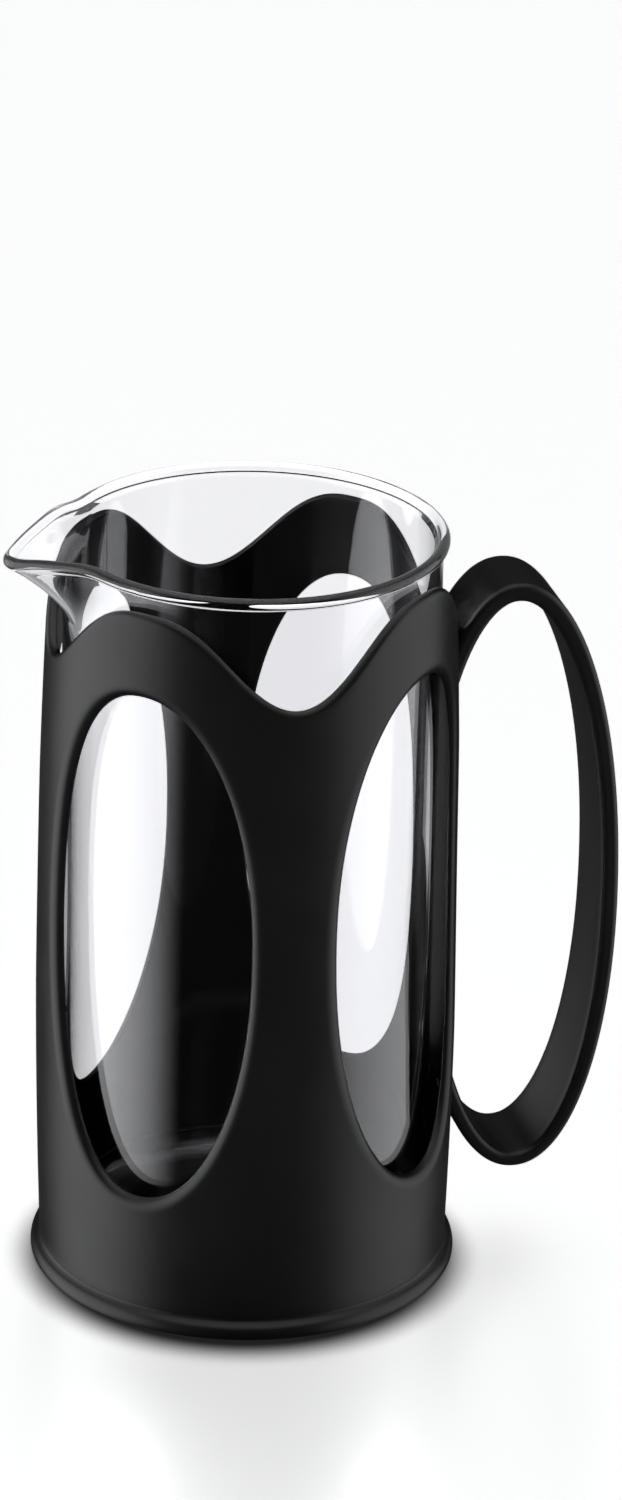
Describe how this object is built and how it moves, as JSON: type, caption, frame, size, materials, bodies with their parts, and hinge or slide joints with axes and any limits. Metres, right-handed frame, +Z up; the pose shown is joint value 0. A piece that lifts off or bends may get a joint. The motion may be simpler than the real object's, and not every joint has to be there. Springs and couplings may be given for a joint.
{
  "type": "french press",
  "caption": "French press: spouted glass beaker in a black plastic frame with oval windows and a band handle; its plunger set stands beside it on the filter disc.",
  "frame": {"origin": "centre of the underside of the foot, on the table", "axes": "+Z up along the press axis, handle towards +X, spout towards -X"},
  "size_m": [0.296, 0.1655, 0.241],
  "materials": {
    "frame_plastic": "satin black moulded plastic",
    "clear_glass": "clear borosilicate glass",
    "knob_plastic": "semi-gloss black plastic",
    "insert_brass": "turned brass",
    "rod_steel": "bright stainless steel",
    "sheet_steel": "satin stainless sheet",
    "spring_steel": "stainless spring wire",
    "mesh_steel": "fine woven stainless mesh",
    "lid_plastic": "satin black moulded plastic",
    "strainer_plastic": "matte black plastic",
    "bush_nylon": "matte black nylon"
  },
  "bodies": {
    "press_frame": {"frame_shell": "frame_plastic", "base_dish": "frame_plastic", "handle": "frame_plastic"},
    "glass": {"beaker": "clear_glass"},
    "plunger": {"knob": "knob_plastic", "knob_insert": "insert_brass", "plunger_rod": "rod_steel", "rod_collar": "rod_steel", "spiral_plate": "sheet_steel", "edge_spring": "spring_steel", "mesh_screen": "mesh_steel", "cross_plate": "sheet_steel", "hub_nut": "rod_steel"},
    "lid_guide": {"lid_bush": "bush_nylon", "bush_clip": "spring_steel"},
    "lid": {"lid_dome": "lid_plastic", "lid_strainer": "strainer_plastic"}
  },
  "joints": [
    {"name": "beaker_lift", "type": "slide", "parent": "press_frame", "child": "glass", "axis": [0, 0, 1], "range_m": [0, 0.21]},
    {"name": "set_lift", "type": "slide", "parent": "press_frame", "child": "plunger", "axis": [0, 0, 1], "range_m": [0, 0.25]},
    {"name": "lid_slide", "type": "slide", "parent": "plunger", "child": "lid_guide", "axis": [0, 0, 1], "range_m": [0, 0.1678]},
    {"name": "lid_turn", "type": "hinge", "parent": "lid_guide", "child": "lid", "pos_m": [0.182, 0.06, 0.041], "axis": [0, 0, 1], "continuous": true}
  ]
}
